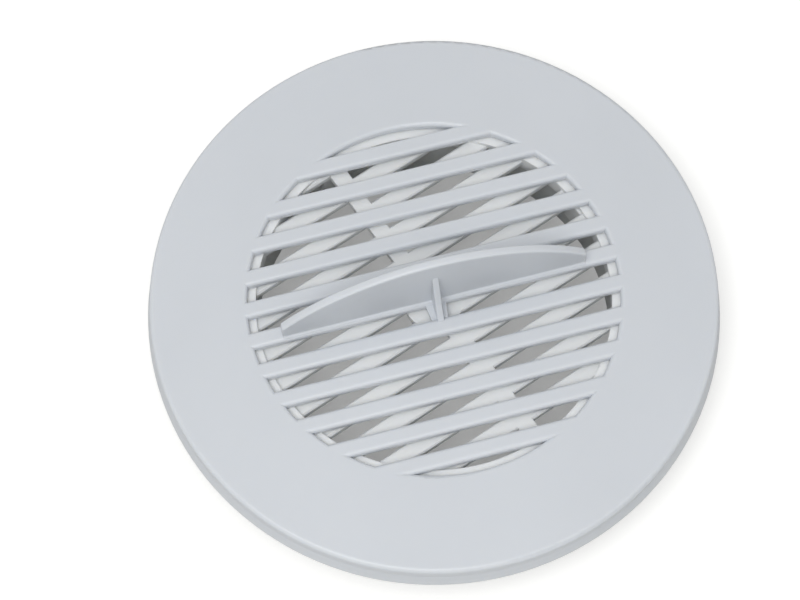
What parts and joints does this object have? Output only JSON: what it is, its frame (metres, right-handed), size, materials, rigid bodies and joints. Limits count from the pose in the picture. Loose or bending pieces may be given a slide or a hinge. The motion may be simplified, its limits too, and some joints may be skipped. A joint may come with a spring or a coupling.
{
  "type": "round wall vent with turning shutter",
  "caption": "Round wall vent with a shutter: a slatted cover with a crescent-shaped fin turns over a fixed slatted grille to open or close the air path into a round duct.",
  "frame": {"origin": "on the vent's axis, in the plane of the wall, which is the back face of the mounting ring's flange", "axes": "+Z along the turning axis, out of the wall into the room; +X along the rear grille's slats"},
  "size_m": [0.15, 0.15, 0.0485],
  "materials": {
    "cover_plastic": "satin",
    "grille_plastic": "satin",
    "ring_plastic": "satin",
    "zinc_steel": "zinc plated",
    "spring_steel": "bright rolled"
  },
  "bodies": {
    "base": {"mounting_ring": "ring_plastic", "rear_grille": "grille_plastic"},
    "cover": {"front_cover": "cover_plastic", "pivot_screw": "zinc_steel", "pivot_washer": "zinc_steel", "friction_spring": "spring_steel"}
  },
  "joints": [
    {"name": "cover_turn", "type": "hinge", "parent": "base", "child": "cover", "pos_m": [0, 0, 0], "axis": [0, 0, 1], "range_deg": [-70, 20]}
  ]
}
